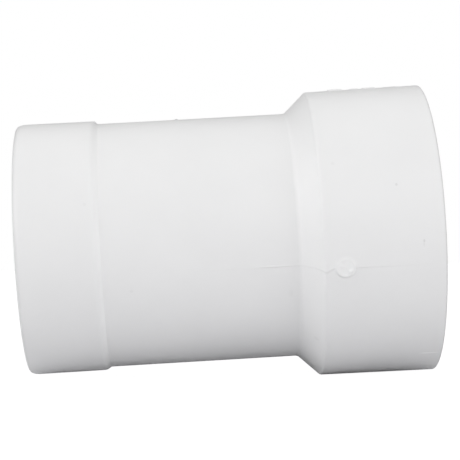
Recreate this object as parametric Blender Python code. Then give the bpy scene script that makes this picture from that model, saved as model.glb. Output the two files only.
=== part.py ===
"""Reducing coupling: a white PVC pipe fitting that joins a large pipe to a smaller one.

The fitting lies on its side. Its axis is the X axis, with the large hub at +X and the small collar
at -X, and the origin is on the axis, halfway along. It is divided at its own feature lines into a
hub, a cone, a barrel and a collar, which plug into each other like short lengths of pipe.
Units are metres, and +Z is up.
"""

import math

import bmesh
import bpy
from mathutils import Matrix, Vector

MM = 0.001

# Stations along the axis, counted from the small end's face.
LENGTH = 179.4 * MM
COLLAR_LENGTH = 35.2 * MM
CONE_START = 119.1 * MM
CONE_END = 128.7 * MM

# Outside radii. The collar and the hub widen very slightly towards their mouths.
COLLAR_MOUTH_R = 55.78 * MM
COLLAR_BACK_R = 55.69 * MM
BARREL_R = 54.37 * MM
HUB_BACK_R = 63.45 * MM
HUB_MOUTH_R = 64.0 * MM

# Sockets: each tapers down to the stop that the pipe's end rests against.
LARGE_SOCKET_DEPTH = 44.45 * MM
LARGE_SOCKET_MOUTH_R = 57.40 * MM
LARGE_SOCKET_STOP_R = 57.035 * MM
SMALL_SOCKET_DEPTH = 33.0 * MM
SMALL_SOCKET_MOUTH_R = 53.785 * MM
SMALL_SOCKET_STOP_R = 53.465 * MM
BORE_R = 51.3 * MM
THROAT_R = 53.8 * MM

# Rounded and chamfered edges.
HUB_LEAD_IN = 1.5 * MM
COLLAR_LEAD_IN = 0.5 * MM
HUB_MOUTH_ROUND = 0.6 * MM
COLLAR_MOUTH_ROUND = 1.2 * MM
COLLAR_BACK_ROUND = 2.0 * MM
COLLAR_STEP_RUN = 0.56 * MM
CREASE_ROUND = 0.8 * MM
SMALL_ROUND = 0.4 * MM

# Laps: how the sub-parts plug into each other.
FIT_GAP = 0.3 * MM
BARREL_SPIGOT_R = 52.65 * MM
BARREL_SPIGOT_LENGTH = 4.0 * MM
CREASE_MARGIN = 0.8 * MM

# The round nub that the moulding gate leaves, on the parting line below the middle of one side.
PARTING_ANGLE = math.radians(13.4)
GATE_DISTANCE = 8.45 * MM
GATE_R = 4.2 * MM
GATE_HEIGHT = 0.55 * MM
GATE_FLANK = 0.35 * MM
GATE_CREST = 0.35 * MM
GATE_LIP = 0.45 * MM
GATE_DIMPLE_DEPTH = 0.2 * MM
GATE_ROOT = 1.5 * MM

# Blank raised pads along the top of the hub: (distance from the hub's back, length, height).
PADS = (
    (10.3 * MM, 6.6 * MM, 0.60 * MM),
    (20.0 * MM, 4.1 * MM, 0.30 * MM),
    (25.9 * MM, 5.9 * MM, 0.40 * MM),
    (35.4 * MM, 5.9 * MM, 0.25 * MM),
)
PAD_WIDTH = 8.0 * MM
PAD_ROOT = 1.5 * MM
PAD_STEPS = 4
PAD_ANGLE = math.radians(4.0)

# Fineness of the turned shapes.
SEGMENTS = 96
GATE_SEGMENTS = 32
ARC_STEPS = 3
SHARP_ANGLE = math.radians(30)
MERGE_DISTANCE = 0.001 * MM

# The moulding is one plastic, with a trace of difference in its whites.
HUB_WHITE = (0.87, 0.87, 0.87)
CONE_WHITE = (0.85, 0.85, 0.86)
BARREL_WHITE = (0.86, 0.86, 0.86)
COLLAR_WHITE = (0.86, 0.86, 0.87)
PVC_ROUGHNESS = 0.42

# Places worked out from the dimensions above.
SMALL_FACE = -LENGTH / 2
LARGE_FACE = LENGTH / 2
COLLAR_BACK = SMALL_FACE + COLLAR_LENGTH
CONE_FOOT = SMALL_FACE + CONE_START
CONE_TOP = SMALL_FACE + CONE_END
LARGE_STOP = LARGE_FACE - LARGE_SOCKET_DEPTH
SMALL_STOP = SMALL_FACE + SMALL_SOCKET_DEPTH
CONE_SLOPE = (HUB_BACK_R - BARREL_R) / (CONE_TOP - CONE_FOOT)


def clear_scene():
    """Remove every object that the scene starts with."""
    for item in list(bpy.data.objects):
        bpy.data.objects.remove(item, do_unlink=True)


def pvc_material(name, colour):
    """A plain moulded-plastic surface."""
    material = bpy.data.materials.new(name)
    material.use_nodes = True
    shader = material.node_tree.nodes["Principled BSDF"]
    shader.inputs["Base Color"].default_value = (*colour, 1.0)
    shader.inputs["Roughness"].default_value = PVC_ROUGHNESS
    shader.inputs["Metallic"].default_value = 0.0
    return material


def rounded_outline(corners):
    """Turn corners (x, radius, rounding) into outline points, with an arc at each rounded corner."""
    points = []
    for index, (x, r, rounding) in enumerate(corners):
        corner = Vector((x, r))
        if rounding == 0.0:
            points.append(corner)
            continue
        before = Vector(corners[index - 1][:2]) - corner
        after = Vector(corners[(index + 1) % len(corners)][:2]) - corner
        before.normalize()
        after.normalize()
        half_angle = before.angle(after) / 2
        centre = corner + (before + after).normalized() * (rounding / math.sin(half_angle))
        start = corner + before * (rounding / math.tan(half_angle)) - centre
        end = corner + after * (rounding / math.tan(half_angle)) - centre
        sweep = start.angle_signed(end)
        for step in range(ARC_STEPS + 1):
            turn = Matrix.Rotation(-sweep * step / ARC_STEPS, 2)
            points.append(centre + turn @ start)
    return points


def turned_mesh(name, corners):
    """Spin a closed outline in the XZ plane about the X axis into one closed ring."""
    shape = bmesh.new()
    verts = [shape.verts.new((point.x, 0.0, point.y)) for point in rounded_outline(corners)]
    edges = [shape.edges.new((verts[i - 1], verts[i])) for i in range(len(verts))]
    bmesh.ops.spin(shape, geom=verts + edges, cent=(0, 0, 0), axis=(1, 0, 0),
                   angle=math.tau, steps=SEGMENTS, use_merge=True, use_duplicate=False)
    bmesh.ops.recalc_face_normals(shape, faces=shape.faces)
    mesh = bpy.data.meshes.new(name)
    shape.to_mesh(mesh)
    shape.free()
    return mesh


def add_turned_object(name, corners, colour, parent):
    """Turn an outline into a smooth-shaded object with its own material."""
    mesh = turned_mesh(name, corners)
    item = bpy.data.objects.new(name, mesh)
    item.data.materials.append(pvc_material(name + "_pvc", colour))
    item.parent = parent
    mesh.shade_smooth()
    mesh.set_sharp_from_angle(angle=SHARP_ANGLE)
    bpy.context.collection.objects.link(item)
    return item


def hub_radius(distance):
    """Outside radius of the hub at a distance from its back corner."""
    share = distance / (LARGE_FACE - CONE_TOP)
    return HUB_BACK_R + (HUB_MOUTH_R - HUB_BACK_R) * share


def small_collar(parent):
    """The thin-walled socket for the small pipe."""
    corners = [
        (SMALL_FACE, COLLAR_MOUTH_R, COLLAR_MOUTH_ROUND),
        (COLLAR_BACK - COLLAR_STEP_RUN, COLLAR_BACK_R, COLLAR_BACK_ROUND),
        (COLLAR_BACK, BARREL_R, 0.0),
        (COLLAR_BACK, SMALL_SOCKET_STOP_R, 0.0),
        (SMALL_STOP, SMALL_SOCKET_STOP_R, 0.0),
        (SMALL_FACE + COLLAR_LEAD_IN, SMALL_SOCKET_MOUTH_R, 0.0),
        (SMALL_FACE, SMALL_SOCKET_MOUTH_R + COLLAR_LEAD_IN / 2, 0.0),
    ]
    return add_turned_object("small_collar", corners, COLLAR_WHITE, parent)


def barrel(parent):
    """The long plain tube, with a spigot at each end. Its small end face stops the small pipe."""
    shoulder = CONE_FOOT - CREASE_MARGIN
    collar_end = COLLAR_BACK + FIT_GAP
    spigot_r = SMALL_SOCKET_STOP_R - FIT_GAP
    corners = [
        (collar_end, BARREL_R, 0.0),
        (shoulder, BARREL_R, 0.0),
        (shoulder, BARREL_SPIGOT_R, 0.0),
        (shoulder + BARREL_SPIGOT_LENGTH, BARREL_SPIGOT_R, 0.0),
        (shoulder + BARREL_SPIGOT_LENGTH, BORE_R, 0.0),
        (SMALL_STOP, BORE_R, SMALL_ROUND),
        (SMALL_STOP, spigot_r, 0.0),
        (collar_end, spigot_r, 0.0),
    ]
    return add_turned_object("barrel", corners, BARREL_WHITE, parent)


def reducing_cone(parent):
    """The 45 degree shoulder. Its large end face stops the large pipe."""
    foot = CONE_FOOT - CREASE_MARGIN + FIT_GAP
    top = CONE_TOP - CREASE_MARGIN - FIT_GAP
    top_r = BARREL_R + (top - CONE_FOOT) * CONE_SLOPE
    spigot_r = LARGE_SOCKET_STOP_R - FIT_GAP
    corners = [
        (foot, BARREL_R, 0.0),
        (CONE_FOOT, BARREL_R, CREASE_ROUND),
        (top, top_r, 0.0),
        (top, spigot_r, 0.0),
        (LARGE_STOP, spigot_r, 0.0),
        (LARGE_STOP, THROAT_R, 0.0),
        (LARGE_STOP - (THROAT_R - BORE_R), BORE_R, 0.0),
        (foot + BARREL_SPIGOT_LENGTH, BORE_R, 0.0),
        (foot + BARREL_SPIGOT_LENGTH, BARREL_SPIGOT_R + FIT_GAP, 0.0),
        (foot, BARREL_SPIGOT_R + FIT_GAP, 0.0),
    ]
    return add_turned_object("reducing_cone", corners, CONE_WHITE, parent)


def hub_ring(parent):
    """The hub's turned wall: tapered socket inside, rounded shoulder and mouth outside."""
    back = CONE_TOP - CREASE_MARGIN
    back_r = BARREL_R + (back - CONE_FOOT) * CONE_SLOPE
    corners = [
        (back, back_r, 0.0),
        (CONE_TOP, HUB_BACK_R, CREASE_ROUND),
        (LARGE_FACE, HUB_MOUTH_R, HUB_MOUTH_ROUND),
        (LARGE_FACE, LARGE_SOCKET_MOUTH_R + HUB_LEAD_IN / 2, 0.0),
        (LARGE_FACE - HUB_LEAD_IN, LARGE_SOCKET_MOUTH_R, 0.0),
        (LARGE_STOP, LARGE_SOCKET_STOP_R, 0.0),
        (back, LARGE_SOCKET_STOP_R, 0.0),
    ]
    return add_turned_object("large_hub", corners, HUB_WHITE, parent)


def join_to_hub(hub, name, mesh):
    """Union a small raised feature with the hub, and keep its mesh out of the build."""
    feature = bpy.data.objects.new(name, mesh)
    feature.hide_render = True
    feature.display_type = "WIRE"
    feature.parent = hub.parent
    bpy.context.collection.objects.link(feature)
    union = hub.modifiers.new(name, "BOOLEAN")
    union.operation = "UNION"
    union.solver = "EXACT"
    union.object = feature
    return feature


def gate_mesh():
    """A low round nub with a raised rim and a shallow dimple, turned about its own axis."""
    crest_r = GATE_R - GATE_FLANK
    profile = [
        (0.0, GATE_HEIGHT - GATE_DIMPLE_DEPTH),
        (crest_r - GATE_CREST - GATE_LIP, GATE_HEIGHT - GATE_DIMPLE_DEPTH),
        (crest_r - GATE_CREST, GATE_HEIGHT),
        (crest_r, GATE_HEIGHT),
        (GATE_R, 0.0),
        (GATE_R, -GATE_ROOT),
        (0.0, -GATE_ROOT),
    ]
    shape = bmesh.new()
    verts = [shape.verts.new((r, 0.0, z)) for r, z in profile]
    edges = [shape.edges.new((verts[i], verts[i + 1])) for i in range(len(verts) - 1)]
    bmesh.ops.spin(shape, geom=verts + edges, cent=(0, 0, 0), axis=(0, 0, 1),
                   angle=math.tau, steps=GATE_SEGMENTS, use_merge=True, use_duplicate=False)
    bmesh.ops.remove_doubles(shape, verts=shape.verts, dist=MERGE_DISTANCE)
    bmesh.ops.recalc_face_normals(shape, faces=shape.faces)
    mesh = bpy.data.meshes.new("gate_nub")
    shape.to_mesh(mesh)
    shape.free()
    return mesh


def add_gate(hub):
    """Place the gate's nub on the parting line, pointing straight out of the hub's wall."""
    gate = join_to_hub(hub, "gate_nub", gate_mesh())
    outward = Vector((0.0, -math.cos(PARTING_ANGLE), -math.sin(PARTING_ANGLE)))
    gate.rotation_euler = outward.to_track_quat("Z", "Y").to_euler()
    gate.location = outward * hub_radius(GATE_DISTANCE) + Vector((CONE_TOP + GATE_DISTANCE, 0.0, 0.0))


def pad_mesh(length, height, radius):
    """A blank pad that follows the hub's curve: a short arc of wall, narrower at its top."""
    half_turn = PAD_WIDTH / 2 / radius
    shape = bmesh.new()
    outline = [
        (-length / 2, radius - PAD_ROOT),
        (-length / 2, radius),
        (height - length / 2, radius + height),
        (length / 2 - height, radius + height),
        (length / 2, radius),
        (length / 2, radius - PAD_ROOT),
    ]
    rows = []
    for step in range(PAD_STEPS + 1):
        turn = half_turn * (2 * step / PAD_STEPS - 1)
        rows.append([shape.verts.new((x, -r * math.sin(turn), r * math.cos(turn))) for x, r in outline])
    shape.faces.new(rows[0])
    shape.faces.new(rows[-1])
    for first, second in zip(rows, rows[1:]):
        for i in range(len(outline)):
            shape.faces.new((first[i - 1], first[i], second[i], second[i - 1]))
    bmesh.ops.recalc_face_normals(shape, faces=shape.faces)
    mesh = bpy.data.meshes.new("pad")
    shape.to_mesh(mesh)
    shape.free()
    return mesh


def add_pads(hub):
    """A row of raised pads along the top of the hub."""
    for index, (distance, length, height) in enumerate(PADS):
        centre = distance + length / 2
        pad = join_to_hub(hub, f"pad_{index + 1}", pad_mesh(length, height, hub_radius(centre)))
        pad.rotation_euler = (PAD_ANGLE, 0.0, 0.0)
        pad.location = (CONE_TOP + centre, 0.0, 0.0)


def large_hub(parent):
    """The socket for the large pipe, with the gate's nub and the marking pads on its outside."""
    hub = hub_ring(parent)
    add_gate(hub)
    add_pads(hub)
    return hub


def build():
    """Make the whole coupling under one empty at its centre."""
    clear_scene()
    centre = bpy.data.objects.new("coupling", None)
    bpy.context.collection.objects.link(centre)
    for make in (small_collar, barrel, reducing_cone, large_hub):
        make(centre)


build()
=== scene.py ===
"""The fine surface of a white PVC reducing coupling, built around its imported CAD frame.

Each CAD sub-part gets one finely turned piece whose skin meets its neighbours' without a break, because
the real fitting is one moulding. The parting line, the gate's nub and the blank raised pads are real
shape, raised along the surface's own normals. Units are metres, +Z is up, and the axis is the X axis.
An angle round the axis is 0 facing -Y, where the camera is, and 90 degrees on top.
"""

import math

import bpy
import numpy as np
from mathutils import Matrix, Vector


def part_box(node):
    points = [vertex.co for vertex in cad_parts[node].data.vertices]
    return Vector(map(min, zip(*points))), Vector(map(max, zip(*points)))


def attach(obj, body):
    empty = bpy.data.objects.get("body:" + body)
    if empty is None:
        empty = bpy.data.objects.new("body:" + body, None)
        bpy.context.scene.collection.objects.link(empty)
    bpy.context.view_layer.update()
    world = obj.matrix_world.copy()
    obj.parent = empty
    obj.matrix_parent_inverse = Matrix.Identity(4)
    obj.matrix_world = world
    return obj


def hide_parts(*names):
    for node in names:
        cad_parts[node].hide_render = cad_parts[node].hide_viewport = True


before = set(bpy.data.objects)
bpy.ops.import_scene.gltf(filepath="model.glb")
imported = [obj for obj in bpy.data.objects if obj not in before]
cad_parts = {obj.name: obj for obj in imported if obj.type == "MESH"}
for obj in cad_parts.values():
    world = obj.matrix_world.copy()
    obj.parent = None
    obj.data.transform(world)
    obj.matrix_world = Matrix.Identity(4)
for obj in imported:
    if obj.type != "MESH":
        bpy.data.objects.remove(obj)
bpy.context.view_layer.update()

MM = 0.001
DEGREE = math.pi / 180

# Stations along the axis and radii that the CAD frame fixes.
COLLAR_LOW, COLLAR_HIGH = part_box("small_collar")
BARREL_LOW, BARREL_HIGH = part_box("barrel")
CONE_LOW, CONE_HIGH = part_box("reducing_cone")
HUB_LOW, HUB_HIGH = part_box("large_hub")
SMALL_FACE = COLLAR_LOW.x
COLLAR_BACK = COLLAR_HIGH.x
SMALL_STOP = BARREL_LOW.x
BARREL_END = BARREL_HIGH.x
CONE_SEAM = CONE_LOW.x
HUB_SEAM = HUB_LOW.x
LARGE_STOP = CONE_HIGH.x
LARGE_FACE = HUB_HIGH.x
BARREL_R = BARREL_HIGH.z
CONE_SEAM_GAP = 0.3 * MM

# Outside shape. A run is the length over which a corner is rounded.
CONE_FOOT = CONE_SEAM + 0.5 * MM
CONE_TOP = HUB_SEAM + 0.8 * MM
COLLAR_MOUTH_R = 55.78 * MM
COLLAR_BACK_R = 55.69 * MM
COLLAR_MOUTH_RUN = 4.0 * MM
COLLAR_MOUTH_DROP = 1.55 * MM
HUB_MOUTH_R = 64.0 * MM
HUB_BACK_R = 63.45 * MM
HUB_MOUTH_ROUND = 0.6 * MM
FOOT_RUN = 1.0 * MM
CREST_RUN = 0.6 * MM

# The soft step behind the collar. It is a little longer above the middle, and short on the very top.
STEP_FOOT = COLLAR_BACK + 0.7 * MM
STEP_RUN = 3.0 * MM
STEP_RUN_ABOVE = 3.6 * MM
STEP_RUN_ON_TOP = 1.3 * MM
STEP_SHIFT_ON_TOP = 0.6 * MM
STEP_LEAN = 0.7  # below 1, its upper bend is rounder than its foot
STEP_ABOVE = (0.1, 0.7)  # it gets longer while the sine of the angle goes from one to the other
STEP_ON_TOP = (0.965, 1.0)  # and shorter again here

# Sockets, stops and bore.
BORE_R = 51.3 * MM
BORE_RUN = 0.4 * MM
THROAT_R = 53.8 * MM
THROAT_RUN = 0.25 * MM
LARGE_MOUTH_R = 57.40 * MM
LARGE_STOP_R = 57.035 * MM
LARGE_LEAD_IN = 1.5 * MM
LARGE_RIM_RUN = 0.15 * MM
LARGE_LEAD_IN_RUN = 0.2 * MM
SMALL_MOUTH_R = 53.785 * MM
SMALL_STOP_R = 53.465 * MM
SMALL_LEAD_IN = 0.5 * MM
SMALL_RIM_RUN = 0.08 * MM
SMALL_LEAD_IN_RUN = 0.1 * MM
BARREL_SPIGOT_R = 52.65 * MM

# The gate's nub. Its edge, flank and sides are shares of its own radius, counted from its middle. Waves
# are (how many go round it, height, phase).
GATE_ANGLE = -13.4 * DEGREE
GATE_X = CONE_TOP + 8.2 * MM
GATE_R = 4.35 * MM
GATE_HEIGHT = 0.50 * MM
GATE_TILT = 0.07  # how fast its rim gets lower towards the top
GATE_EDGE = 1.04
GATE_FLANK = 0.24  # its width inside the edge
GATE_FLANK_CHANGE = 0.10  # wider above, and narrower below
GATE_FLANK_OUTSIDE = 0.3  # how much of that width it has outside the edge as well
GATE_OUTLINE_WAVES = ((2, 0.03, 0.6), (3, 0.03, -0.9))
GATE_RIM_WAVES = ((2, 0.12, 2.4), (5, 0.08, 0.0))
DIMPLE_DEPTH = 0.22 * MM
DIMPLE_SIDE = (0.45, 0.82)
DIMPLE_WAVES = ((3, 0.35, 1.0),)
SWELL_HEIGHT = 0.16 * MM
SWELL_SIDE = (0.9, 2.1)
BEAD_HEIGHT = 0.28 * MM
BEAD_ALONG = (2.2 * MM, 0.85 * MM)
BEAD_AROUND = (-1.7 * MM, 0.60 * MM)

# The parting line: a ridge, and a ledge that stands proud just above it. A place on it is (middle,
# reach), and a stretch where it changes is (start, end).
PARTING_ANGLE = -13.75 * DEGREE
PARTING_CLIMB = 0.8 * DEGREE
PARTING_DIP = 1.1 * DEGREE
BEFORE_GATE = (GATE_X - 5.0 * MM, 2.2 * MM)
AROUND_GATE = (GATE_X, 8.5 * MM)
AT_SHOULDER = (CONE_TOP + 1.0 * MM, 3.0 * MM)
ON_BARREL = (18.0 * MM, 7.0 * MM)
RIDGE_HEIGHT = 0.05 * MM
RIDGE_MORE_ON_BARREL = 0.22 * MM
RIDGE_MORE_AT_SHOULDER = 0.12 * MM
RIDGE_WIDTH = 0.30 * MM
LEDGE_HEIGHT = 0.03 * MM
LEDGE_MORE_FROM_CONE = 0.06 * MM
LEDGE_MORE_AT_GATE = 0.20 * MM
LEDGE_GROWS = (26.0 * MM, 33.0 * MM)
LEDGE_EDGE = 0.20 * MM
LEDGE_REACH = 2.5 * MM
LEDGE_END = 6.0 * MM
SOFTNESS = 0.30 * MM
SOFTNESS_MORE_AT_SHOULDER = 0.50 * MM
RIDGE_SOFTNESS_SHARE = 0.5
UNEVEN_SHARE = 0.2
UNEVEN_LENGTH = 9.0 * MM
UNEVEN_PHASE = 0.7
PARTING_APPEARS = (-40.0 * MM, 4.0 * MM)
PARTING_FADES = (56.0 * MM, 86.0 * MM)
PARTING_FADED_SHARE = 0.8
PARTING_FAINTEST = 0.06
PARTING_CLEAR_OF_FACE = 2.0 * MM
BURR_HEIGHT = 0.10 * MM
BURR_ALONG = (28.6 * MM, 0.9 * MM)
BURR_ACROSS = (0.3 * MM, 0.5 * MM)

# The blank pads on top of the hub: (distance from the cone's top, length, height).
PAD_ANGLE = 86.0 * DEGREE
PAD_WIDTH = 8.0 * MM
PAD_CORNER = 1.0 * MM
PAD_FLANK = 0.55 * MM
PADS = (
    (10.3 * MM, 6.6 * MM, 0.57 * MM),
    (20.0 * MM, 4.1 * MM, 0.30 * MM),
    (25.9 * MM, 5.9 * MM, 0.40 * MM),
    (35.4 * MM, 5.9 * MM, 0.15 * MM),
)
PADS_START = CONE_TOP + PADS[0][0]
PADS_END = CONE_TOP + PADS[-1][0] + PADS[-1][1]

# The nub and the pads grow out of the hub's skin just past the cone's top. Where the nub is high enough,
# it covers the parting line.
HUB_MARKS_GROW = 1.5 * MM
COVER_HEIGHT = (0.12 * MM, 0.4 * MM)
COVER_SHARE = 0.9

# A dark lump of grime on top of the barrel.
GRIME_X = -18.9 * MM
GRIME_ANGLE = 85.5 * DEGREE
GRIME_HEIGHT = 0.35 * MM
GRIME_REACH = 0.8 * MM

# Marks in the surface's colour: (x, angle, half length, half width, added lightness), in mm and degrees.
MARKS = (
    (-18.9, 85.5, 1.1, 1.0, -0.45),  # the grime
    (70.3, 16.7, 0.6, 0.7, -0.12),
    (80.2, -5.0, 0.5, 0.7, -0.14),
    (80.1, -6.3, 0.4, 1.2, -0.06),
    (44.7, 26.8, 0.8, 0.8, -0.04),
    (35.3, -48.4, 1.2, 1.2, -0.05),
    (25.0, -27.0, 1.0, 2.0, -0.03),
    (-42.0, -21.5, 0.8, 0.8, -0.04),
    (-59.4, 18.3, 0.8, 0.8, -0.04),
    (84.0, -57.9, 4.2, 0.65, 0.17),  # a light scratch
    (47.2, -13.4, 4.4, 4.4, 0.03),  # the gate's sheared face
)
MARK_SOLID = 0.5  # a mark is at full strength within this share of its half size
MARK_EDGE = 1.2  # and gone outside this share

# Painted shade on the two mouths' rims, darkening the colour towards each face: how far it reaches from
# the face, and how light it leaves the plastic.
SMALL_RIM_SHADE_REACH = 2.0 * MM
SMALL_RIM_SHADE_LIGHTNESS = 0.885
LARGE_RIM_SHADE_REACH = 1.0 * MM
LARGE_RIM_SHADE_LIGHTNESS = 0.72

# The plastic. Noise scales are per metre, and most of a noise's values lie between its low and high.
NOISE_LOW = 0.30
NOISE_HIGH = 0.70
FLOW_SCALE = 26.0
FLOW_DARK = (0.850, 0.850, 0.850, 1.0)
FLOW_PALE = (0.872, 0.872, 0.871, 1.0)
GRAIN_SCALE = 140.0
GLOSSIEST = 0.40
ROUGHEST = 0.52
RELIEF_SCALE = 520.0
RELIEF_STRENGTH = 0.10
RELIEF_DEPTH = 0.02 * MM
PVC_IOR = 1.53

# The floor. It lies lower than a real table under the collar, which leaves the underside there brighter.
FLOOR_HALF_SIZE = 3.0
FLOOR_GAP = 0.05 * MM
COLLAR_LIFT = 2.5 * MM
PAPER = (0.795, 0.795, 0.81, 1.0)
PAPER_SHADOW = (0.10, 0.10, 0.10, 1.0)
PAPER_GLOW = 0.99
WHITE = (1.0, 1.0, 1.0, 1.0)

# Soft boxes: (azimuth from +Y towards +X, elevation, strength), with the angles in degrees.
SOFT_BOXES = (
    (-108.0, 26.0, 2.45),  # left side
    (-128.0, 15.0, 1.60),  # left of the camera
    (147.0, 17.0, 2.15),  # right of the camera
    (107.0, -3.0, 2.80),  # right side
    (135.0, 36.0, 0.70),  # right side, high
    (70.0, 54.0, 0.95),  # high right, behind
    (-100.0, 64.0, 0.75),  # high left
    (-15.0, 59.0, 0.95),  # high behind
)
BOX_FALLOFF = 12.0  # how fast a box fades away from its middle

# The camera, a long way off with a long lens.
SENSOR_MM = 36.0
LENS_MM = 129.35
CAMERA_PLACE = (-23.98 * MM, -743.4 * MM, 0.0)
CAMERA_PAN = -2.038 * DEGREE
CAMERA_TILT = 0.283 * DEGREE
CAMERA_ROLL = 3.257 * DEGREE

# Fineness of the meshes. Fine zones are (middle, half width, step).
ARC_STEPS = 8  # points on a rounded corner
SUPPORT = 0.06 * MM  # how close to a corner the next ring of points is
HIDDEN_STEP = 4.0 * MM  # between points inside the sockets and bore
GROWTH = 0.22  # how fast the step grows outside a fine zone
SHARP_ANGLE = 50.0 * DEGREE
COLUMN_STEP = 1.1 * DEGREE
FINE_COLUMNS = (
    (PARTING_ANGLE + 0.5 * DEGREE, 4.4 * DEGREE, 0.14 * DEGREE),  # the gate and the parting line
    (PARTING_ANGLE + math.pi, 0.9 * DEGREE, 0.16 * DEGREE),  # the parting line behind
    (PAD_ANGLE, 4.4 * DEGREE, 0.30 * DEGREE),  # the pads and the grime
)
ROW_STEP = 1.2 * MM
FINE_ROWS = (
    (STEP_FOOT - STEP_RUN_ABOVE / 2, STEP_RUN_ABOVE / 2, 0.16 * MM),  # the collar's step
    (GRIME_X, 1.0 * MM, 0.25 * MM),
    (GATE_X, 4.9 * MM, 0.17 * MM),
    ((PADS_START + PADS_END) / 2, (PADS_END - PADS_START) / 2, 0.38 * MM),
)


def graded(low, high, base, zones):
    """Places from low to high, base apart, closing to a zone's own step round each zone."""
    places = [low]
    while places[-1] < high:
        step = base
        for centre, half_width, fine in zones:
            away = max(0.0, abs(places[-1] - centre) - half_width)
            step = min(step, fine + GROWTH * away)
        places.append(places[-1] + step)
    places = np.array(places)
    return low + (places - low) * (high - low) / (places[-1] - low)


# The angles of the columns that all four pieces share. The last is left out, because it is the first.
ANGLES = graded(-math.pi, math.pi, COLUMN_STEP, FINE_COLUMNS)[:-1]


def smooth(low, high, value):
    """0 below low, 1 above high, and a smooth step between."""
    t = np.clip((value - low) / (high - low), 0.0, 1.0)
    return t * t * (3.0 - 2.0 * t)


def bump(value, width):
    """A bell curve, 1 at zero."""
    return np.exp(-(value / width) ** 2)


def near(value, feature):
    """A bell curve round a feature, which is its middle and its reach."""
    middle, reach = feature
    return bump(value - middle, reach)


def ripple(turn, waves):
    """A few sine waves round a circle, added up."""
    return sum(height * np.sin(count * turn + phase) for count, height, phase in waves)


def wave(value, length, phase):
    """A gentle, uneven wave between about -1 and 1 that never repeats over the fitting's length."""
    turn = math.tau * value / length
    return 0.6 * np.sin(turn + phase) + 0.4 * np.sin(2.7 * turn + 1.9 * phase)


def parting_height(x, angle, radius):
    """The thin flash where the mould's halves met, on both sides: a ridge, and a ledge just above it."""
    at_shoulder = near(x, AT_SHOULDER)
    drift = PARTING_CLIMB * near(x, BEFORE_GATE) - PARTING_DIP * at_shoulder
    front = (angle - PARTING_ANGLE - drift) * radius
    back = ((angle - PARTING_ANGLE) % math.tau - math.pi) * radius
    strength = smooth(*PARTING_APPEARS, x) * (1.0 - PARTING_FADED_SHARE * smooth(*PARTING_FADES, x))
    strength = PARTING_FAINTEST + (1.0 - PARTING_FAINTEST) * strength
    strength = strength * smooth(0.0, PARTING_CLEAR_OF_FACE, LARGE_FACE - x)
    strength = strength * smooth(0.0, PARTING_CLEAR_OF_FACE, x - SMALL_FACE)
    ridge = RIDGE_HEIGHT + RIDGE_MORE_ON_BARREL * near(x, ON_BARREL) + RIDGE_MORE_AT_SHOULDER * at_shoulder
    ridge = ridge * (1.0 + UNEVEN_SHARE * wave(x, UNEVEN_LENGTH, UNEVEN_PHASE))
    ledge = LEDGE_HEIGHT + LEDGE_MORE_FROM_CONE * smooth(*LEDGE_GROWS, x)
    ledge = ledge + LEDGE_MORE_AT_GATE * near(x, AROUND_GATE)
    soft = SOFTNESS + SOFTNESS_MORE_AT_SHOULDER * at_shoulder
    height = 0.0
    for across in (front, back):
        flash = ridge * bump(across, RIDGE_WIDTH + RIDGE_SOFTNESS_SHARE * soft * at_shoulder)
        step = ledge * smooth(-soft, LEDGE_EDGE, across) * bump(np.maximum(across, 0.0), LEDGE_REACH)
        height = height + strength * (flash + step * (across < LEDGE_END))
    return height + BURR_HEIGHT * near(x, BURR_ALONG) * near(front, BURR_ACROSS)


def gate_height(x, angle, radius):
    """The gate's nub: an uneven rim round a dimple, a torn bead low on its right, and a low swell."""
    along = x - GATE_X
    around = (angle - GATE_ANGLE) * radius
    turn = np.arctan2(around, along)
    share = np.hypot(along, around) / (GATE_R * (1.0 + ripple(turn, GATE_OUTLINE_WAVES)))
    flank = GATE_FLANK + GATE_FLANK_CHANGE * np.sin(turn)
    crest = GATE_HEIGHT * (1.0 + ripple(turn, GATE_RIM_WAVES)) - GATE_TILT * around
    mound = crest * (1.0 - smooth(GATE_EDGE - flank, GATE_EDGE + GATE_FLANK_OUTSIDE * flank, share))
    dimple = DIMPLE_DEPTH * (1.0 - smooth(*DIMPLE_SIDE, share))
    dimple = dimple * (1.0 + ripple(turn, DIMPLE_WAVES) * share)
    bead = BEAD_HEIGHT * near(along, BEAD_ALONG) * near(around, BEAD_AROUND)
    swell = SWELL_HEIGHT * (1.0 - smooth(*SWELL_SIDE, share))
    return mound - dimple + bead + swell


def pad_height(x, angle, radius):
    """The blank pads that stand in for raised marking, with soft sides and rounded corners."""
    around = (angle - PAD_ANGLE) * radius
    height = 0.0
    for distance, length, tall in PADS:
        along = x - (CONE_TOP + distance + length / 2)
        past_end = np.maximum(np.abs(along) - length / 2 + PAD_CORNER, 0.0)
        past_side = np.maximum(np.abs(around) - PAD_WIDTH / 2 + PAD_CORNER, 0.0)
        outside = np.hypot(past_end, past_side) - PAD_CORNER
        height = height + tall * (1.0 - smooth(-PAD_FLANK, 0.0, outside))
    return height


def grime_height(x, angle, radius):
    """The lump of grime on top of the barrel."""
    around = (angle - GRIME_ANGLE) * radius
    return GRIME_HEIGHT * bump(x - GRIME_X, GRIME_REACH) * bump(around, GRIME_REACH)


def step_height(x, angle):
    """What the collar's soft step stands out of the straight line that the turned shape has there."""
    upward = np.sin(angle)
    on_top = smooth(*STEP_ON_TOP, upward)
    run = STEP_RUN + (STEP_RUN_ABOVE - STEP_RUN) * smooth(*STEP_ABOVE, upward)
    run = run + (STEP_RUN_ON_TOP - run) * on_top
    foot = STEP_FOOT - STEP_SHIFT_ON_TOP * on_top
    share = smooth(0.0, 1.0, np.clip((foot - x) / run, 0.0, 1.0) ** STEP_LEAN)
    straight = np.clip((STEP_FOOT - x) / STEP_RUN, 0.0, 1.0)
    return (COLLAR_BACK_R - BARREL_R) * (share - straight)


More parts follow.
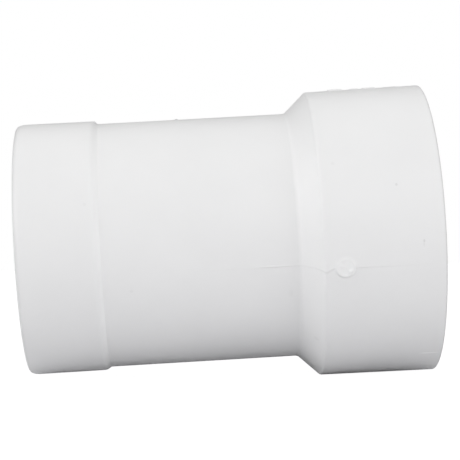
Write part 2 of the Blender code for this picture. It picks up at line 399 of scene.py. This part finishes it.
def skin_height(x, angle, radius):
    """How far the outer skin stands out of the plain turned shape."""
    gate = gate_height(x, angle, radius)
    on_hub = smooth(CONE_TOP, CONE_TOP + HUB_MARKS_GROW, x)
    covered = COVER_SHARE * smooth(*COVER_HEIGHT, gate) * on_hub
    height = parting_height(x, angle, radius) + step_height(x, angle)
    height = height * (1.0 - covered)
    return height + grime_height(x, angle, radius) + on_hub * (gate + pad_height(x, angle, radius))


def corner(x, radius, back=0.0, ahead=None):
    """An outline corner, rounded off over these lengths of the runs behind it and ahead of it."""
    return Vector((x, radius)), back, back if ahead is None else ahead


def corner_points(before, place, after, back, ahead):
    """The outline points of one corner: the corner itself, or a quarter of an ellipse that rounds it."""
    if back == 0.0:
        return [place]
    to_before = (before - place).normalized() * back
    to_after = (after - place).normalized() * ahead
    turns = [math.pi / 2 * step / ARC_STEPS for step in range(ARC_STEPS + 1)]
    return [place + to_before * (1.0 - math.sin(turn)) + to_after * (1.0 - math.cos(turn))
            for turn in turns]


def run_points(start, end, base, zones):
    """The outline points between two corners, with a support point close to each end."""
    length = (end - start).length
    if length < 3 * SUPPORT:
        return []
    first, last = SUPPORT / length, 1.0 - SUPPORT / length
    local = [((centre - start.x) / (end.x - start.x) * length, half, fine) for centre, half, fine in zones]
    shares = graded(0.0, length, base, local)[1:-1] / length
    shares = [share for share in shares if first < share < last]
    return [start.lerp(end, share) for share in [first, *shares, last]]


def line_points(corners, base, zones=()):
    """Points along an open outline, with its corners rounded."""
    points = []
    for i, (place, back, ahead) in enumerate(corners):
        arc = [place]
        if 0 < i < len(corners) - 1:
            arc = corner_points(corners[i - 1][0], place, corners[i + 1][0], back, ahead)
        if points:
            points += run_points(points[-1], arc[0], base, zones)
        points += arc
    return np.array([tuple(point) for point in points])


# The whole outer skin, from the small mouth's face to the large one's, as one smooth line. Its two ends
# lie a support's length inside the rounded mouths, so that no two of its points are in one place.
SKIN_CORNERS = (
    corner(SMALL_FACE, COLLAR_MOUTH_R - COLLAR_MOUTH_DROP - SUPPORT),
    corner(SMALL_FACE, COLLAR_MOUTH_R, COLLAR_MOUTH_DROP, COLLAR_MOUTH_RUN),
    corner(STEP_FOOT - STEP_RUN, COLLAR_BACK_R),
    corner(STEP_FOOT, BARREL_R),
    corner(CONE_FOOT, BARREL_R, FOOT_RUN),
    corner(CONE_TOP, HUB_BACK_R, CREST_RUN),
    corner(LARGE_FACE, HUB_MOUTH_R, HUB_MOUTH_ROUND),
    corner(LARGE_FACE, HUB_MOUTH_R - HUB_MOUTH_ROUND - SUPPORT),
)
SKIN = line_points(SKIN_CORNERS, ROW_STEP, FINE_ROWS)


def skin_between(low, high):
    """The skin's points, and its direction at each, from one station to another."""
    along = np.roll(SKIN, -1, axis=0) - np.roll(SKIN, 1, axis=0)
    along[0] = SKIN[1] - SKIN[0]
    along[-1] = SKIN[-1] - SKIN[-2]
    along /= np.linalg.norm(along, axis=1)[:, None]
    rows = np.hstack([SKIN, along])
    inside = rows[(rows[:, 0] > low) & (rows[:, 0] < high)]
    ends = []
    for station, face in ((low, SMALL_FACE), (high, LARGE_FACE)):
        if station == face:
            ends.append(rows[rows[:, 0] == face])
        else:
            ends.append(np.array([[np.interp(station, SKIN[:, 0], rows[:, i]) for i in range(4)]]))
    rows = np.vstack([ends[0], inside, ends[1]])
    return rows[:, :2], rows[:, 2:]


def turned_piece(name, low, high, hidden):
    """Turn the skin between two stations, closed by hidden corners, about the X axis."""
    skin, along = skin_between(low, high)
    # These have one row for each point of the skin and one column for each angle.
    x = skin[:, :1] + 0.0 * ANGLES
    radius = skin[:, 1:] + 0.0 * ANGLES
    angle = ANGLES + 0.0 * skin[:, :1]
    height = skin_height(x, angle, radius)
    x = x - along[:, 1:] * height
    radius = radius + along[:, :1] * height
    closing = [corner(*skin[-1]), *hidden, corner(*skin[0])]
    inner = line_points(closing, HIDDEN_STEP)[1:-1]
    x = np.vstack([x, inner[:, :1] + 0.0 * ANGLES])
    radius = np.vstack([radius, inner[:, 1:] + 0.0 * ANGLES])
    places = np.stack([x, -radius * np.cos(ANGLES), radius * np.sin(ANGLES)], axis=-1)
    rows, columns = x.shape
    index = np.arange(rows * columns).reshape(rows, columns)
    next_row = np.roll(index, -1, axis=0)
    quads = np.stack([index, next_row, np.roll(next_row, -1, axis=1), np.roll(index, -1, axis=1)], axis=-1)
    mesh = bpy.data.meshes.new(name)
    mesh.from_pydata(places.reshape(-1, 3).tolist(), [], quads.reshape(-1, 4).tolist())
    mesh.shade_smooth()
    mesh.set_sharp_from_angle(angle=SHARP_ANGLE)
    piece = bpy.data.objects.new(name, mesh)
    bpy.context.scene.collection.objects.link(piece)
    return piece


def collar_piece():
    """The thin-walled socket of the small pipe."""
    hidden = (
        corner(COLLAR_BACK, SMALL_STOP_R),
        corner(SMALL_STOP, SMALL_STOP_R),
        corner(SMALL_FACE + SMALL_LEAD_IN, SMALL_MOUTH_R, SMALL_LEAD_IN_RUN),
        corner(SMALL_FACE, SMALL_MOUTH_R + SMALL_LEAD_IN / 2, SMALL_RIM_RUN),
    )
    return turned_piece("collar_skin", SMALL_FACE, COLLAR_BACK, hidden)


def barrel_piece():
    """The long plain tube and the stop that the small pipe meets."""
    hidden = (
        corner(CONE_SEAM, BARREL_SPIGOT_R),
        corner(BARREL_END, BARREL_SPIGOT_R),
        corner(BARREL_END, BORE_R),
        corner(SMALL_STOP, BORE_R, BORE_RUN),
        corner(SMALL_STOP, SMALL_STOP_R),
        corner(COLLAR_BACK, SMALL_STOP_R),
    )
    return turned_piece("barrel_skin", COLLAR_BACK, CONE_SEAM, hidden)


def cone_piece():
    """The 45 degree shoulder, the throat inside it and the stop that the large pipe meets."""
    hidden = (
        corner(HUB_SEAM, LARGE_STOP_R),
        corner(LARGE_STOP, LARGE_STOP_R),
        corner(LARGE_STOP, THROAT_R, THROAT_RUN),
        corner(LARGE_STOP - (THROAT_R - BORE_R), BORE_R, THROAT_RUN),
        corner(BARREL_END, BORE_R),
        corner(BARREL_END, BARREL_SPIGOT_R + CONE_SEAM_GAP),
        corner(CONE_SEAM, BARREL_SPIGOT_R + CONE_SEAM_GAP),
    )
    return turned_piece("cone_skin", CONE_SEAM, HUB_SEAM, hidden)


def hub_piece():
    """The large socket, with the gate's nub and the pads on its outside."""
    hidden = (
        corner(LARGE_FACE, LARGE_MOUTH_R + LARGE_LEAD_IN / 2, LARGE_RIM_RUN),
        corner(LARGE_FACE - LARGE_LEAD_IN, LARGE_MOUTH_R, LARGE_LEAD_IN_RUN),
        corner(LARGE_STOP, LARGE_STOP_R),
        corner(HUB_SEAM, LARGE_STOP_R),
    )
    return turned_piece("hub_skin", HUB_SEAM, LARGE_FACE, hidden)


class Nodes:
    """A short way to add nodes to one node tree and join them."""

    def __init__(self, tree):
        self.tree = tree

    def add(self, kind, settings=None, **inputs):
        """Add a node, set its properties, and fill inputs with values or with other nodes' sockets.

        An input is given by its name, or by its number after the letter i where the name is shared.
        """
        node = self.tree.nodes.new(kind)
        for key, value in (settings or {}).items():
            setattr(node, key, value)
        for key, value in inputs.items():
            socket = node.inputs[int(key[1:])] if key[0] == "i" and key[1:].isdigit() else node.inputs[key]
            if isinstance(value, bpy.types.NodeSocket):
                self.tree.links.new(value, socket)
            else:
                socket.default_value = value
        return node

    def compute(self, operation, *values):
        """The result of a math node on these values or sockets."""
        numbered = {f"i{number}": value for number, value in enumerate(values)}
        return self.add("ShaderNodeMath", {"operation": operation}, **numbered).outputs["Value"]

    def ease(self, value, low, high, at_low, at_high):
        """A smooth step from one level to another as the value goes from low to high."""
        return self.add("ShaderNodeMapRange", {"interpolation_type": "SMOOTHSTEP"},
                        i0=value, i1=low, i2=high, i3=at_low, i4=at_high).outputs["Result"]


def marks_and_rim_shade(nodes, place):
    """A factor on the colour, 1 but for small marks and a trace of painted shade on the two mouths' rims.
    """
    split = nodes.add("ShaderNodeSeparateXYZ", Vector=place).outputs
    front = nodes.compute("MULTIPLY", split["Y"], -1.0)
    angle = nodes.compute("ARCTAN2", split["Z"], front)
    total = 1.0
    for x, degrees, half_length, half_width, lightness in MARKS:
        radius = BARREL_R if x < CONE_FOOT / MM else HUB_MOUTH_R
        along = 1.0 / (half_length * MM)
        around = radius / (half_width * MM)
        dx = nodes.compute("MULTIPLY_ADD", split["X"], along, -x * MM * along)
        dy = nodes.compute("MULTIPLY_ADD", angle, around, -degrees * DEGREE * around)
        both = nodes.add("ShaderNodeCombineXYZ", X=dx, Y=dy).outputs["Vector"]
        away = nodes.add("ShaderNodeVectorMath", {"operation": "LENGTH"}, i0=both).outputs["Value"]
        inside = nodes.ease(away, MARK_EDGE, MARK_SOLID, 0.0, lightness)
        total = nodes.compute("ADD", inside, total)
    # Painted shade: the colour darkens towards each mouth's face.
    small_rim_shade = nodes.ease(split["X"], SMALL_FACE + SMALL_RIM_SHADE_REACH, SMALL_FACE, 1.0, SMALL_RIM_SHADE_LIGHTNESS)
    large_rim_shade = nodes.ease(split["X"], LARGE_FACE - LARGE_RIM_SHADE_REACH, LARGE_FACE, 1.0, LARGE_RIM_SHADE_LIGHTNESS)
    return nodes.compute("MULTIPLY", nodes.compute("MULTIPLY", total, small_rim_shade), large_rim_shade)


def pvc_material():
    """White moulded PVC: near-even colour, satin gloss, faint flow variation, a few specks, and painted
    shade on the two mouths' rims.
    """
    material = bpy.data.materials.new("white_pvc")
    material.use_nodes = True
    tree = material.node_tree
    shader = tree.nodes["Principled BSDF"]
    nodes = Nodes(tree)
    place = nodes.add("ShaderNodeTexCoord").outputs["Object"]

    flow = nodes.add("ShaderNodeTexNoise", Vector=place, Scale=FLOW_SCALE, Detail=3.0, Roughness=0.55)
    tone = nodes.add("ShaderNodeValToRGB", Fac=flow.outputs["Fac"])
    dark, pale = tone.color_ramp.elements
    dark.position = NOISE_LOW
    dark.color = FLOW_DARK
    pale.position = NOISE_HIGH
    pale.color = FLOW_PALE
    # The marks' colour, with the painted shade on the mouths' rims.
    lightness = marks_and_rim_shade(nodes, place)
    colour = nodes.add("ShaderNodeVectorMath", {"operation": "SCALE"},
                       i0=tone.outputs["Color"], Scale=lightness)
    tree.links.new(colour.outputs["Vector"], shader.inputs["Base Color"])

    grain = nodes.add("ShaderNodeTexNoise", Vector=place, Scale=GRAIN_SCALE, Detail=4.0, Roughness=0.6)
    rough = nodes.add("ShaderNodeMapRange", i0=grain.outputs["Fac"],
                      i1=NOISE_LOW, i2=NOISE_HIGH, i3=GLOSSIEST, i4=ROUGHEST)
    tree.links.new(rough.outputs["Result"], shader.inputs["Roughness"])

    skin = nodes.add("ShaderNodeTexNoise", Vector=place, Scale=RELIEF_SCALE, Detail=5.0, Roughness=0.62)
    relief = nodes.add("ShaderNodeBump", Strength=RELIEF_STRENGTH, Distance=RELIEF_DEPTH,
                       Height=skin.outputs["Fac"])
    tree.links.new(relief.outputs["Normal"], shader.inputs["Normal"])
    shader.inputs["IOR"].default_value = PVC_IOR
    return material


def shown_and_lit(nodes, seen, lighting):
    """One shader that the camera sees directly, and another that lights the object."""
    path = nodes.add("ShaderNodeLightPath")
    both = nodes.add("ShaderNodeMixShader", i0=path.outputs["Is Camera Ray"], i1=lighting, i2=seen)
    return both.outputs["Shader"]


def floor_material():
    """White paper, which lights the object. The camera sees it as white, with a trace of the shadow."""
    material = bpy.data.materials.new("pale_floor")
    material.use_nodes = True
    tree = material.node_tree
    tree.nodes.clear()
    nodes = Nodes(tree)
    paper = nodes.add("ShaderNodeBsdfDiffuse", Color=PAPER)
    glow = nodes.add("ShaderNodeEmission", Color=WHITE, Strength=PAPER_GLOW)
    trace = nodes.add("ShaderNodeBsdfDiffuse", Color=PAPER_SHADOW)
    washed = nodes.add("ShaderNodeAddShader", i0=glow.outputs["Emission"], i1=trace.outputs["BSDF"])
    both = shown_and_lit(nodes, washed.outputs["Shader"], paper.outputs["BSDF"])
    nodes.add("ShaderNodeOutputMaterial", Surface=both)
    return material


def add_floor():
    """A wide floor. It climbs from the hub's back corner to a little below the collar's rim."""
    half = FLOOR_HALF_SIZE
    mesh = bpy.data.meshes.new("floor")
    corners = [(-half, -half, 0.0), (half, -half, 0.0), (half, half, 0.0), (-half, half, 0.0)]
    mesh.from_pydata(corners, [], [(0, 1, 2, 3)])
    mesh.materials.append(floor_material())
    floor = bpy.data.objects.new("floor", mesh)
    drop = HUB_BACK_R - COLLAR_MOUTH_R - COLLAR_LIFT
    slope = math.atan2(drop, CONE_TOP - SMALL_FACE - COLLAR_MOUTH_RUN)
    floor.rotation_euler.y = slope
    floor.location = (CONE_TOP, 0.0, -HUB_BACK_R - FLOOR_GAP)
    bpy.context.scene.collection.objects.link(floor)


def add_studio():
    """A dark room lit by large soft boxes. The camera itself sees a plain white backdrop."""
    world = bpy.data.worlds.new("studio")
    world.use_nodes = True
    bpy.context.scene.world = world
    tree = world.node_tree
    tree.nodes.clear()
    nodes = Nodes(tree)
    direction = nodes.add("ShaderNodeTexCoord").outputs["Generated"]
    total = 0.0
    for azimuth, elevation, strength in SOFT_BOXES:
        level = math.cos(elevation * DEGREE)
        aim = (level * math.sin(azimuth * DEGREE), level * math.cos(azimuth * DEGREE),
               math.sin(elevation * DEGREE))
        facing = nodes.add("ShaderNodeVectorMath", {"operation": "DOT_PRODUCT"}, i0=direction, i1=aim)
        away = nodes.compute("MULTIPLY_ADD", facing.outputs["Value"], BOX_FALLOFF, -BOX_FALLOFF)
        total = nodes.compute("MULTIPLY_ADD", nodes.compute("EXPONENT", away), strength, total)
    light = nodes.add("ShaderNodeBackground", Color=WHITE, Strength=total)
    backdrop = nodes.add("ShaderNodeBackground", Color=WHITE, Strength=1.0)
    both = shown_and_lit(nodes, backdrop.outputs["Background"], light.outputs["Background"])
    nodes.add("ShaderNodeOutputWorld", Surface=both)
    bpy.context.scene.view_settings.view_transform = "Standard"


def add_camera():
    """A long-lens camera in front of the barrel, panned a little to the hub, rolled so the axis climbs."""
    data = bpy.data.cameras.new("camera")
    data.sensor_width = SENSOR_MM
    data.lens = LENS_MM
    data.clip_start = 0.01
    data.clip_end = 20.0
    camera = bpy.data.objects.new("camera", data)
    bpy.context.scene.collection.objects.link(camera)
    place = Matrix.Translation(CAMERA_PLACE)
    pan = Matrix.Rotation(CAMERA_PAN, 4, "Z")
    tilt = Matrix.Rotation(CAMERA_TILT, 4, "X")
    roll = Matrix.Rotation(CAMERA_ROLL, 4, "Y")
    level = Matrix.Rotation(90 * DEGREE, 4, "X")
    camera.matrix_world = place @ pan @ tilt @ roll @ level
    bpy.context.scene.camera = camera


def add_object():
    """Build the four pieces, one for each CAD node."""
    pvc = pvc_material()
    for piece, node in (
        (collar_piece(), "small_collar"),
        (barrel_piece(), "barrel"),
        (cone_piece(), "reducing_cone"),
        (hub_piece(), "large_hub"),
    ):
        piece.data.materials.append(pvc)
        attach(piece, "root")
        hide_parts(node)


add_camera()
add_studio()
add_floor()
add_object()
